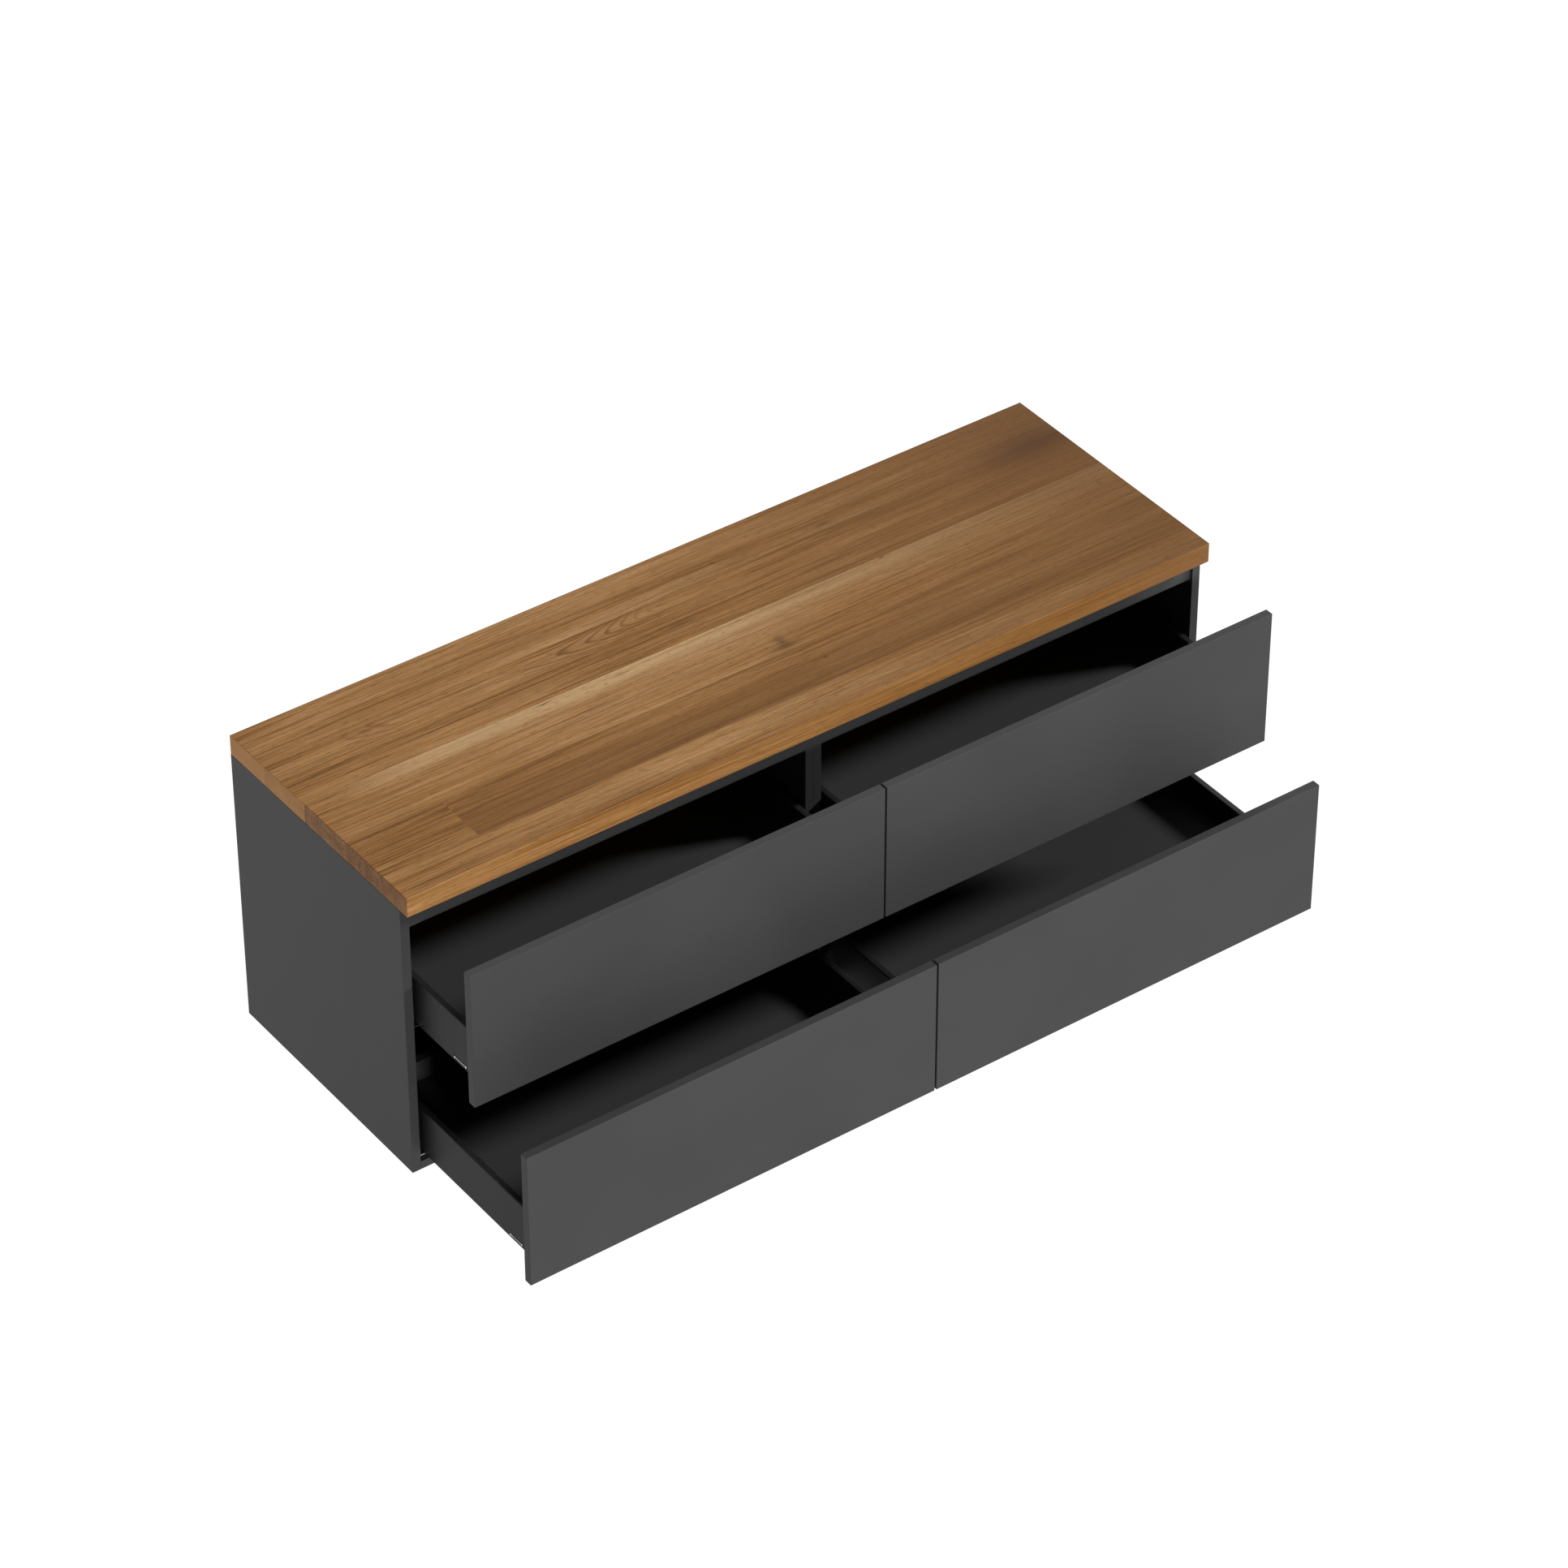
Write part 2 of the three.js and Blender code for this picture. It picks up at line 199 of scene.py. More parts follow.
class Finish:
    """A material that is built node by node around one Principled shader."""

    def __init__(self, name):
        self.material = bpy.data.materials.new(name)
        self.material.use_nodes = True
        self.tree = self.material.node_tree
        self.shader = self.tree.nodes["Principled BSDF"]
        place = self.node("TexCoord", {}, {}, "Object")
        self.place = place
        self.x, self.y, self.z = (self.node("SeparateXYZ", {}, {0: place}, axis) for axis in "XYZ")

    def node(self, kind, settings, sockets, output=0):
        """A node of this kind. Its settings are set before its sockets get values or links."""
        made = self.tree.nodes.new("ShaderNode" + kind)
        for key, value in settings.items():
            if key == "stops":
                self.set_stops(made.color_ramp, value)
            else:
                setattr(made, key, value)
        for key, value in sockets.items():
            if isinstance(value, Wire):
                self.tree.links.new(value.socket, made.inputs[key])
            else:
                made.inputs[key].default_value = value
        return Wire(self, made.outputs[output])

    @staticmethod
    def set_stops(ramp, stops):
        """Gives a colour ramp its places and colours."""
        while len(ramp.elements) < len(stops):
            ramp.elements.new(1.0)
        for element, (position, color) in zip(ramp.elements, stops):
            element.position = position
            element.color = (*color, 1.0)

    def at(self, x, y, z):
        """A place made of three numbers or wires."""
        return self.node("CombineXYZ", {}, {0: x, 1: y, 2: z})

    def noise_at(self, where, detail, **more):
        """Noise from 0 to 1 at a place that is already counted in cells."""
        return self.node("TexNoise", {}, {"Vector": where, "Scale": 1.0, "Detail": detail, **more})

    def noise(self, x_scale, y_scale, z_scale, detail=2.0):
        """Noise with its own scale, in cells a metre, along each axis."""
        return self.noise_at(self.at(self.x * x_scale, self.y * y_scale, self.z * z_scale), detail)

    def grain(self, cells, detail=2.0):
        """Noise with the same number of cells a metre along every axis."""
        return self.noise(cells, cells, cells, detail)

    def smooth(self, value, low, high):
        """0 below low, 1 above high, with a soft step between."""
        settings = {"interpolation_type": "SMOOTHSTEP"}
        return self.node("MapRange", settings, {"Value": value, "From Min": low, "From Max": high})

    def mix(self, factor, first, second):
        """A mix of two colours: the Mix node's colour sockets are 6 and 7, and its result is 2."""
        first, second = ((*c, 1.0) if isinstance(c, tuple) else c for c in (first, second))
        return self.node("Mix", {"data_type": "RGBA"}, {0: factor, 6: first, 7: second}, 2)

    def bump(self, height, strength, distance):
        """A normal tilted by a height pattern that is `distance` metres deep."""
        return self.node("Bump", {}, {"Height": height, "Strength": strength, "Distance": distance})

    def finish(self, **sockets):
        """Sets the shader's own sockets, by their names with _ for a space."""
        for key, value in sockets.items():
            socket = self.shader.inputs[key.replace("_", " ")]
            if isinstance(value, Wire):
                self.tree.links.new(value.socket, socket)
            else:
                socket.default_value = value
        return self.material


print("ready to write finishes")

# %% [markdown]
# ## The floor
# The floor is a white sweep that glows, with a little plain diffuse white. It lies where a
# bathroom floor would be if the vanity hung low. Studios often let the sweep burn out behind the
# furniture while keeping its reflections calm. Two planes do that here: only the camera sees the
# upper one, and only light and reflections meet the lower one, which is dimmer, and dimmer still
# in the shade under the cabinet. On a wall nothing bright would show through the open back. A
# black cloth inside it sees to that here, and only reflections and lamps meet it.

# %% Floor
FLOOR_BELOW = 0.32
FLOOR_STEP = 0.01                             # from the floor that is seen to the one that is felt
FLOOR_REACH = 60.0
FLOOR_WHITE = (0.10, 0.10, 0.10, 1.0)
SEEN_GLOW, FELT_GLOW = 1.0, 0.62
SHADE_LEFT = (0.24, 0.24, 0.24)               # the light that is left under the cabinet
SHADE_EDGE = 0.45
BLACK_CLOTH = (0.004, 0.004, 0.004, 1.0)
CLOTH_GAP = 4 * MM


def staged(name, bm, paint):
    """A mesh of the studio, which isn't part of the cabinet."""
    mesh = bpy.data.meshes.new(name)
    bm.to_mesh(mesh)
    bm.free()
    mesh.materials.append(paint)
    thing = bpy.data.objects.new(name, mesh)
    bpy.context.scene.collection.objects.link(thing)
    return thing


def make_floor(name, below, glow, shaded):
    """A large glowing plane, which may be in soft shade under the cabinet."""
    bm = bmesh.new()
    bmesh.ops.create_grid(bm, x_segments=1, y_segments=1, size=FLOOR_REACH)
    bmesh.ops.translate(bm, verts=bm.verts, vec=(0, 0, solid_box[0].z - below))
    paint = Finish(name + "_paint")
    light = WHITE
    if shaded:
        middle, half = (solid_box[0] + solid_box[1]) / 2, (solid_box[1] - solid_box[0]) / 2
        inside = 1.0
        for place, centre, reach in ((paint.x, middle.x, half.x), (paint.y, middle.y, half.y)):
            away = paint.smooth(abs(place - centre), reach - SHADE_EDGE, reach + SHADE_EDGE)
            inside = (1 - away) * inside
        light = paint.mix(inside, WHITE[:3], SHADE_LEFT)
    return staged(name, bm, paint.finish(
        Base_Color=FLOOR_WHITE, Roughness=1.0, Specular_IOR_Level=0.0,
        Emission_Color=light, Emission_Strength=glow))


def hang_cloth():
    """A black cloth inside the open back, just in front of the two rear rails."""
    low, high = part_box("lower_back_rail")[0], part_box("hanging_rail")[1]
    bm = bmesh.new()
    bmesh.ops.create_grid(bm, x_segments=1, y_segments=1, size=0.5)     # a square, 1 m wide
    bmesh.ops.rotate(bm, verts=bm.verts, matrix=Matrix.Rotation(math.radians(90), 3, "X"))
    bmesh.ops.scale(bm, verts=bm.verts, vec=(high.x - low.x, 1.0, high.z - low.z))
    middle = (low + high) / 2
    bmesh.ops.translate(bm, verts=bm.verts, vec=(middle.x, low.y - CLOTH_GAP, middle.z))
    return staged("black_cloth", bm, Finish("black_cloth_weave").finish(
        Base_Color=BLACK_CLOTH, Roughness=1.0, Specular_IOR_Level=0.0))


floor_seen = make_floor("floor_seen", FLOOR_BELOW, SEEN_GLOW, False)
floor_seen.visible_diffuse = floor_seen.visible_glossy = floor_seen.visible_shadow = False
floor_felt = make_floor("floor_felt", FLOOR_BELOW + FLOOR_STEP, FELT_GLOW, True)
floor_felt.visible_camera = False
black_cloth = hang_cloth()
black_cloth.visible_camera = black_cloth.visible_diffuse = False
print("floor", FLOOR_BELOW, "m under the cabinet")

# %% [markdown]
# ## Oiled wood for the worktop
# The worktop is glued up from wide staves that run its whole length. Each stave comes from another
# part of the tree, so its tone and its figure differ, and the figure stops dead at each glue
# line. Growth rings are nearly cylinders round the pith of the log. Where a stave is sawn close
# to the pith and the log tapers, its top face cuts the cylinders in nested flames; where the
# pith is far off to one side, they show as straight lines. So the pattern works out the distance
# from a pith line, bends it with slow noise, and draws a latewood line at each full ring. Because
# it is worked out in space, the end faces show the rings that the top face continues. Knots are
# small hills added to that distance: the ring lines then flow round them.

# %% Oiled wood: staves
STAVE_JOINTS = (0.068, 0.172, 0.293, 0.411)   # from the worktop's front edge
BUTT_JOINT = 0.179                            # from its left end, in the second stave
RING = 2.6 * MM
RING_WANDER, RING_WAVER = 7, 0.7              # how many rings the slow and the quick noise move it
# for each stave: where its pith lies from the front, how deep, how fast it rises towards the
# right, its tone, and how strongly its ring lines show
PITH_PLACE = (0.165, -0.010, 0.395, 0.404, 0.640)
PITH_DEPTH = (0.050, 0.060, 0.050, 0.100, 0.050)
PITH_RISE = (0.004, 0.010, 0.004, 0.052, 0.012)
TONE = (0.53, 0.43, 0.54, 0.45, 0.55)
RING_SHARE = (0.34, 0.36, 0.32, 0.10, 0.42)


def soft_spot(wood, x, front, length, width):
    """1 in the middle of an oval spot, fading to 0."""
    along = (wood.from_left - x) / length
    across = (wood.from_front - front) / width
    return ((along * along + across * across) * -1).op("EXPONENT")


def by_stave(wood, values):
    """The value of the stave that a point is in."""
    steps = zip(STAVE_JOINTS, values, values[1:])
    return sum(((wood.from_front > joint) * (after - before) for joint, before, after in steps
                if after != before), values[0])


def find_stave(wood):
    """Adds each point's place on the board, its stave's number and a key for its own noise."""
    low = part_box("worktop")[0]
    wood.from_left = wood.x - low.x
    wood.from_front = wood.y - low.y
    wood.stave = by_stave(wood, (0, 1, 2, 3, 4))
    second = (wood.from_front > STAVE_JOINTS[0]) * (wood.from_front < STAVE_JOINTS[1])
    wood.second_left = second * (wood.from_left < BUTT_JOINT)
    wood.key = wood.stave + wood.second_left * 7
    return wood


# knots: from the left, from the front, half length, half width, rings of height, and the stave,
# counted from 0 at the front
KNOTS = (
    (0.600, 0.420, 0.120, 0.030, 5.0, 3),
    (1.110, 0.426, 0.050, 0.016, 6.0, 4),
    (1.235, 0.356, 0.080, 0.022, 4.0, 3),
    (0.862, 0.181, 0.045, 0.020, 4.0, 2),
)


def ring_distance(wood):
    """Distance from the pith in rings, bent by slow noise and by the knots."""
    shift = wood.key * 3.7
    side = wood.from_front - by_stave(wood, PITH_PLACE) - wood.second_left * 0.06
    deep = by_stave(wood, PITH_DEPTH) - by_stave(wood, PITH_RISE) * wood.from_left
    depth = wood.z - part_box("worktop")[1].z + deep
    radius = (side * side + depth * depth) ** 0.5
    where = wood.at(wood.x * 1.3 + shift, wood.y * 6 + shift, wood.z * 6)
    slow = wood.noise_at(where, 1.5, Roughness=0.45)
    quick = wood.noise_at(wood.at(wood.x * 8 + shift, wood.y * 60, wood.z * 60), 2.0)
    rings = radius / RING + slow * RING_WANDER + quick * RING_WAVER
    for x, front, length, width, height, stave in KNOTS:
        own = (wood.stave > stave - 0.5) * (wood.stave < stave + 0.5)
        rings = rings + soft_spot(wood, x, front, length, width) * own * height
    return rings


print(len(KNOTS), "knots in", len(STAVE_JOINTS) + 2, "staves")

# %% [markdown]
# ### Colour of the wood
# Oil deepens the contrast: sapwood stays straw-coloured, heartwood turns brown, and the pores
# drink most and end up darkest. A pattern on a board is mostly a mask: noise stretched along the
# grain, a soft band between two places, an oval spot, or the hairline of a glue joint. Each mask
# gets a small helper, so that the recipe for the colour can name what it lays on.

# %% Oiled wood: helpers for its colour
PALE = (0.610, 0.395, 0.200)
STRAW = (0.545, 0.315, 0.142)
HONEY = (0.375, 0.182, 0.056)
UMBER = (0.165, 0.070, 0.018)
DEEP = (0.080, 0.034, 0.011)
GOLD = (0.620, 0.290, 0.090)
RUST = (0.190, 0.060, 0.012)
HAIRLINE = (0.2 * MM, 0.9 * MM)               # a glue joint's dark core and its soft edge
FACE_SKIN = (0.2 * MM, 1.6 * MM)              # how far the front's painted shade and the end grain's colour reach into the wood
# the first spot, large and at the rear of the right end, is painted shade that deepens the right
# end's painted falloff; the others are dark marks in the wood
SPOTS = (   # from the left, from the front, half length, half width, share of dark
    (1.545, 0.405, 0.100, 0.034, 0.80), (0.861, 0.184, 0.027, 0.0080, 0.60),
    (0.862, 0.199, 0.009, 0.0160, 0.60), (0.180, 0.396, 0.012, 0.006, 0.50),
    (0.895, 0.122, 0.005, 0.0025, 0.80), (0.897, 0.443, 0.004, 0.002, 0.70),
    (1.133, 0.290, 0.006, 0.002, 0.80), (0.755, 0.336, 0.025, 0.005, 0.45),
    (0.454, 0.287, 0.016, 0.0014, 0.70), (0.600, 0.280, 0.018, 0.0014, 0.70),
    (1.110, 0.424, 0.018, 0.004, 0.55))


def long_noise(wood, along, across, detail=2.0):
    """Noise stretched along the staves, different in each stave."""
    shift = wood.key * 5.3
    return wood.noise_at(wood.at(wood.x * along + shift, wood.y * across, wood.z * across), detail)


def band(wood, place, low, high, soft_low, soft_high):
    """1 between two places, fading over a width of its own at each side."""
    fade = 1 - wood.smooth(place, high - soft_high, high)
    return wood.smooth(place, low, low + soft_low) * fade


def hairline(wood, joint):
    """A thin line along one glue joint."""
    return 1 - wood.smooth(abs(wood.from_front - joint), *HAIRLINE)


def on_face(wood, place):
    """1 on the face that a place is counted from, 0 inside the wood."""
    return 1 - wood.smooth(place, *FACE_SKIN)


print(len(SPOTS), "dark spots")

# %% [markdown]
# ### The recipe
# The colours are laid over each other as they come about in the tree and on the bench. First a
# stave's own tone, broken up by three widths of noise, then the ring lines and the streaks. A pale
# sapwood band follows one glue line, and dark heartwood lies in the second stave. The right end is
# painted darker as a whole: a painted shade for the light that falls off towards it, deepest at its
# rear. Then come the spots, the pores and the glue joints, and last the front and the left end. The
# left end's end grain takes the oil in another way than the top, and the front is painted darker
# than the top, as painted shade. Some of the masks also tilt the surface a little, because pores
# are pits that the oil doesn't fill.

# %% Oiled wood: colour and sheen
# two places, and how softly the band starts and ends: the first two lie along the board, from
# the left, and the others across it, from the front
FLAME_TIP = (0.120, 0.240, 0.040, 0.030)
FLAME_ARCHES = (0.430, 0.760, 0.090, 0.120)
SAPWOOD = (0.252, 0.297, 0.022, 0.003)
HEARTWOOD = (0.064, 0.150, 0.006, 0.034)
# for each stave: how much gold or rust its end grain takes
END_GOLD = (0.0, 0.0, 0.0, 0.55, 0.70)
END_RUST = (0.45, 0.20, 0.15, 0.0, 0.0)


def figure_share(wood):
    """How strongly the ring lines show: the fourth stave's arches fade out along it."""
    tip = band(wood, wood.from_left, *FLAME_TIP)
    arches = band(wood, wood.from_left, *FLAME_ARCHES)
    fourth = (wood.stave > 2.5) * (wood.stave < 3.5)
    return by_stave(wood, RING_SHARE) + fourth * (tip * 0.40 + arches * 0.75)


def wood_color(wood, late, streak, fine):
    """The colour inside the board, before spots, pores and faces."""
    broad = long_noise(wood, 1.1, 24, 3.0)
    tone = by_stave(wood, TONE) + (broad - 0.5) * 0.85
    tone = tone + (streak - 0.5) * 0.60 + (fine - 0.5) * 1.35
    color = wood.node("ValToRGB", {"stops": ((0.26, UMBER), (0.48, HONEY), (0.74, STRAW))},
                      {"Fac": tone})
    color = wood.mix(late * figure_share(wood), color, UMBER)
    color = wood.mix(wood.smooth(streak, 0.54, 0.64) * 0.36, color, UMBER)
    color = wood.mix(wood.smooth(fine, 0.57, 0.62) * 0.60, color, UMBER)
    ragged = wood.noise_at(wood.at(wood.x * 2.2, wood.y * 30, 0.0), 2.0) - 0.5
    place = wood.from_front + ragged * 0.012
    pale = band(wood, place, *SAPWOOD) * (wood.stave < 2.5)
    pale = pale * wood.smooth(wood.from_left, 0.02, 0.26)
    pale = pale * (1 - wood.smooth(wood.from_left, 0.80, 1.35) * 0.55)
    color = wood.mix(pale * (fine + streak) * 0.78, color, PALE)
    heart = band(wood, place, *HEARTWOOD) * (wood.from_left > BUTT_JOINT)
    heart = heart * (1 - wood.smooth(wood.from_left, 0.80, 1.6) * 0.7)
    return wood.mix(heart * 0.55, color, UMBER)


def oiled_wood():
    """Staves of oiled wood with rings, pores and end grain."""
    wood = find_stave(Finish("oiled_wood"))
    line = ring_distance(wood).op("FRACT")
    late = wood.smooth(line, 0.50, 0.88) * (1 - wood.smooth(line, 0.90, 1.0))
    streak = long_noise(wood, 3.0, 130, 3.0)
    fine = long_noise(wood, 5, 460, 3.0)
    color = wood_color(wood, late, streak, fine)
    # painted shade for the light that falls off to the right: darker towards the right end, more at
    # the rear
    right_end_painted_shade = wood.smooth(wood.from_left, 0.55, 1.62)
    rear = wood.smooth(wood.from_front, 0.28, 0.33)
    color = wood.mix(right_end_painted_shade * (rear * 0.22 + 0.60), color, UMBER)
    color = wood.mix(wood.smooth(wood.from_left, 1.30, 1.60) * 0.20, color, DEEP)
    for x, front, length, width, share in SPOTS:
        color = wood.mix(soft_spot(wood, x, front, length, width) * share, color, DEEP)
    dashes = wood.smooth(long_noise(wood, 55, 420, 1.0), 0.58, 0.70)
    pores = wood.smooth(long_noise(wood, 34, 1100, 1.0), 0.60, 0.72)
    color = wood.mix(dashes * 0.36 + pores * 0.30, color, DEEP)
    glue = sum((hairline(wood, joint) for joint in STAVE_JOINTS[1:]),
               hairline(wood, STAVE_JOINTS[0]))
    color = wood.mix(glue * 0.50, color, UMBER)
    # painted shade: the front face is painted darker than the top
    color = wood.mix(on_face(wood, wood.from_front) * 0.42, color, UMBER)
    end_face = on_face(wood, wood.from_left)
    color = wood.mix(end_face * by_stave(wood, END_GOLD), color, GOLD)
    color = wood.mix(end_face * by_stave(wood, END_RUST), color, RUST)
    height = fine * 0.5 - late * 0.3 - pores - dashes * 0.5
    return wood.finish(
        Base_Color=color, Roughness=0.42 + streak * 0.12 + pores * 0.15,
        Specular_IOR_Level=0.16, Normal=wood.bump(height, 0.35, 0.00025))


OILED_WOOD = oiled_wood()
print("oiled wood:", len(OILED_WOOD.node_tree.nodes), "nodes")

# %% [markdown]
# ## Matt lacquer, melamine, powder coat and zinc
# The boards are sprayed with a matt anthracite lacquer. Its film is never quite flat: a slow
# ripple and a very fine grit break the reflections, and hands polish it a little here and there.
# The drawer bases wear a printed melamine skin with a pressed grain. The drawer sides are powder
# coated, which leaves a fine orange peel. The runners are zinc plated, brushed along their length.
# Bumpers, caps and plugs are black nylon. Each finish mixes two close tones with a noise and tilts
# its surface with a noise, because one flat colour on a smooth face looks like nothing real.

# %% Lacquer, melamine, powder coat, zinc and nylon
# two tones for each: as it comes from the sprayer, the press or the bath, and where it is lighter
LACQUER_TONES = (0.0350, 0.0350, 0.0355), (0.0405, 0.0405, 0.0410)
MELAMINE_TONES = (0.030, 0.030, 0.0305), (0.040, 0.040, 0.0405)
POWDER_TONES = (0.010, 0.010, 0.0102), (0.014, 0.014, 0.0142)
ZINC_TONES = (0.80, 0.81, 0.83), (0.92, 0.93, 0.95)
NYLON_TONES = (0.012, 0.012, 0.012), (0.022, 0.022, 0.022)


def lacquer():
    coat = Finish("anthracite_lacquer")
    cloud = coat.grain(3.1, 3.0)
    grit = coat.grain(1400, 1.0)
    ripple = coat.grain(60, 1.0)
    color = coat.mix(coat.smooth(cloud, 0.35, 0.70), *LACQUER_TONES)
    return coat.finish(
        Base_Color=color, Roughness=0.38 + cloud * 0.07 + grit * 0.03, Specular_IOR_Level=0.28,
        Normal=coat.bump(grit * 0.25 + ripple, 0.12, 0.0002))


def melamine():
    skin = Finish("dark_melamine")
    cloud = skin.grain(5)
    pressed = skin.noise(220, 900, 900, 3.0)
    color = skin.mix(pressed, *MELAMINE_TONES)
    return skin.finish(
        Base_Color=color, Roughness=0.50 + cloud * 0.1, Specular_IOR_Level=0.08,
        Normal=skin.bump(pressed, 0.25, 0.0002))


def powder_coat():
    coat = Finish("powder_coat")
    peel = coat.grain(700)
    cloud = coat.grain(6)
    color = coat.mix(cloud, *POWDER_TONES)
    return coat.finish(
        Base_Color=color, Roughness=0.40 + cloud * 0.08, Specular_IOR_Level=0.26,
        Normal=coat.bump(peel, 0.2, 0.00025))


def zinc():
    plate = Finish("zinc_plate")
    brushed = plate.noise(2600, 14, 2600)
    spangle = plate.node("TexVoronoi", {}, {"Vector": plate.place, "Scale": 320.0}, "Color")
    shade = plate.node("SeparateColor", {}, {0: spangle}, 0)
    color = plate.mix(shade * 0.5 + brushed * 0.5, *ZINC_TONES)
    return plate.finish(
        Base_Color=color, Metallic=1.0, Roughness=0.15 + brushed * 0.14 + shade * 0.05,
        Normal=plate.bump(brushed, 0.15, 0.0001))


def nylon():
    plastic = Finish("black_nylon")
    grain = plastic.grain(900)
    color = plastic.mix(grain, *NYLON_TONES)
    return plastic.finish(
        Base_Color=color, Roughness=0.5 + grain * 0.1, Normal=plastic.bump(grain, 0.2, 0.0002))


ANTHRACITE, MELAMINE, POWDER, ZINC, NYLON = lacquer(), melamine(), powder_coat(), zinc(), nylon()
print("five more finishes")

# %% [markdown]
# ## How a piece is finished
# Every piece is shaped as a bmesh, and `finished` turns it into an object: it merges doubles, faces
# everything outwards, gives the finish and lets the piece ride on its body. Large flat faces
# keep their flat look beside rounded edges when the normals are weighted by face area, so each
# piece takes a Weighted Normal modifier.

# %% Turn a bmesh into a piece
SHARP = math.radians(40)
HAIR = 1e-6                                   # distances below this are none at all
TOUCH_GAP = 0.3 * MM                          # what stays free between pieces that touch


def finished(name, bm, finish, body, stands_for=()):
    """An object from a bmesh, which it uses up."""
    bmesh.ops.remove_doubles(bm, verts=bm.verts, dist=HAIR)
    bmesh.ops.recalc_face_normals(bm, faces=bm.faces)
    mesh = bpy.data.meshes.new(name)
    bm.to_mesh(mesh)
    bm.free()
    mesh.shade_smooth()
    mesh.set_sharp_from_angle(angle=SHARP)
    mesh.materials.append(finish)
    made = bpy.data.objects.new(name, mesh)
    bpy.context.scene.collection.objects.link(made)
    weighted = made.modifiers.new("flat_faces", "WEIGHTED_NORMAL")
    weighted.keep_sharp = True
    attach(made, body)
    if stands_for:
        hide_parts(*stands_for)
    return made


def box_into(bm, low, high):
    """A box between two corners, added to the bmesh. Returns its vertices."""
    low, high = Vector(low), Vector(high)
    place = Matrix.Translation((low + high) / 2) @ Matrix.Diagonal((*(high - low), 1.0))
    return bmesh.ops.create_cube(bm, size=1.0, matrix=place)["verts"]


def ease(bm, edges, radius, segments):
    """Rounds edges."""
    bmesh.ops.bevel(bm, geom=edges, offset=radius, offset_type="OFFSET", segments=segments,
                    profile=0.5, affect="EDGES", material=-1, clamp_overlap=True)


print("pieces are finished by one function")

# %% [markdown]
# ## Worktop
# A slab of solid wood, 38 mm thick. Its arrises are broken by hand with a small round, which is
# what draws the thin bright line along the front. A cube stretched to the slab with all its
# edges bevelled does this.

# %% Worktop
WORKTOP_ROUND = 1.1 * MM


def make_worktop():
    bm = bmesh.new()
    box_into(bm, *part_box("worktop"))
    ease(bm, bm.edges[:], WORKTOP_ROUND, 4)
    return finished("worktop_slab", bm, OILED_WOOD, "carcass", ["worktop"])


print("worktop has", len(make_worktop().data.polygons), "faces")

# %% [markdown]
# ## Carcass boards
# A carcass board is a core with a thin band glued on its front edge. The band is a strip of its
# own, and after sanding both have a tiny round, so a hairline shows where they meet. Two boxes,
# each with eased edges, give that hairline for free. A texture could only paint it.

# %% Carcass boards
BAND = 0.8 * MM
BOARD_ROUND = 0.35 * MM


def banded_board(name):
    """A board with a band on its front edge, in place of the solid of that name."""
    low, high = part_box(name)
    seam = low.y + BAND
    bm = bmesh.new()
    box_into(bm, (low.x, seam, low.z), high)
    box_into(bm, low, (high.x, seam, high.z))
    ease(bm, bm.edges[:], BOARD_ROUND, 2)
    return finished(name + "_board", bm, ANTHRACITE, "carcass", [name])


for board in ("side_panel_left", "side_panel_right", "bottom_panel", "front_rail",
              "hanging_rail", "lower_back_rail"):
    banded_board(board)
print("six banded boards")

# %% [markdown]
# ## Divider
# Two boards stand back to back in the middle and carry the inner runners. Each is notched at its
# top front corner, where the front rail passes. The outline is one polygon in the YZ plane, made
# from a few vertices and extruded through the board's thickness.

# %% Divider
def profile_prism(points, direction):
    """A solid made by extruding one polygon, given by its corners, along a vector."""
    bm = bmesh.new()
    face = bm.faces.new([bm.verts.new(p) for p in points])
    grown = bmesh.ops.extrude_face_region(bm, geom=[face])["geom"]
    moved = [v for v in grown if isinstance(v, bmesh.types.BMVert)]
    bmesh.ops.translate(bm, verts=moved, vec=direction)
    return bm


def make_divider(name):
    """A board notched round the front rail, in place of the solid of that name."""
    low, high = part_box(name)
    rail_low, rail_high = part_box("front_rail")
    notch_y, notch_z = rail_high.y + TOUCH_GAP, rail_low.z - TOUCH_GAP
    outline = [(low.y, low.z), (high.y, low.z), (high.y, high.z), (notch_y, high.z),
               (notch_y, notch_z), (low.y, notch_z)]
    bm = profile_prism([(low.x, y, z) for y, z in outline], (high.x - low.x, 0, 0))
    ease(bm, bm.edges[:], BOARD_ROUND, 2)
    return finished(name + "_board", bm, ANTHRACITE, "carcass", [name])


make_divider("divider_left")
make_divider("divider_right")
print("two notched divider boards")

# %% [markdown]
# ## Drawer fronts, bases and backs
# A front is a plain lacquered slab whose edges are rounded by just under a millimetre before
# spraying, because lacquer runs off a sharp edge. Small soft bumpers sit in the corners of its
# back and meet the carcass when the drawer shuts. The base is a melamine board, and the back is a
# low board that stands on it. A slab is a cube stretched to the solid, with all its edges eased. A
# bumper is half a sphere, cut at its widest, closed and pressed flat.

# %% Drawer fronts, bases and backs
FRONT_ROUND = 0.7 * MM
BASE_ROUND = 0.3 * MM
BACK_ROUND = 0.5 * MM
BUMPER_RADIUS = 4.5 * MM
BUMPER_HEIGHT = 1.6 * MM
BUMPER_FROM_END = 8 * MM
BUMPER_FROM_EDGE = 16 * MM
DRAWERS = [f"{row}_{column}" for row in ("upper", "lower") for column in ("left", "right")]


def eased_slab(name, node, radius, segments, finish, body):
    """A board with eased edges, in place of the solid of that name."""
    bm = bmesh.new()
    box_into(bm, *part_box(node))
    ease(bm, bm.edges[:], radius, segments)
    return finished(name, bm, finish, body, [node])


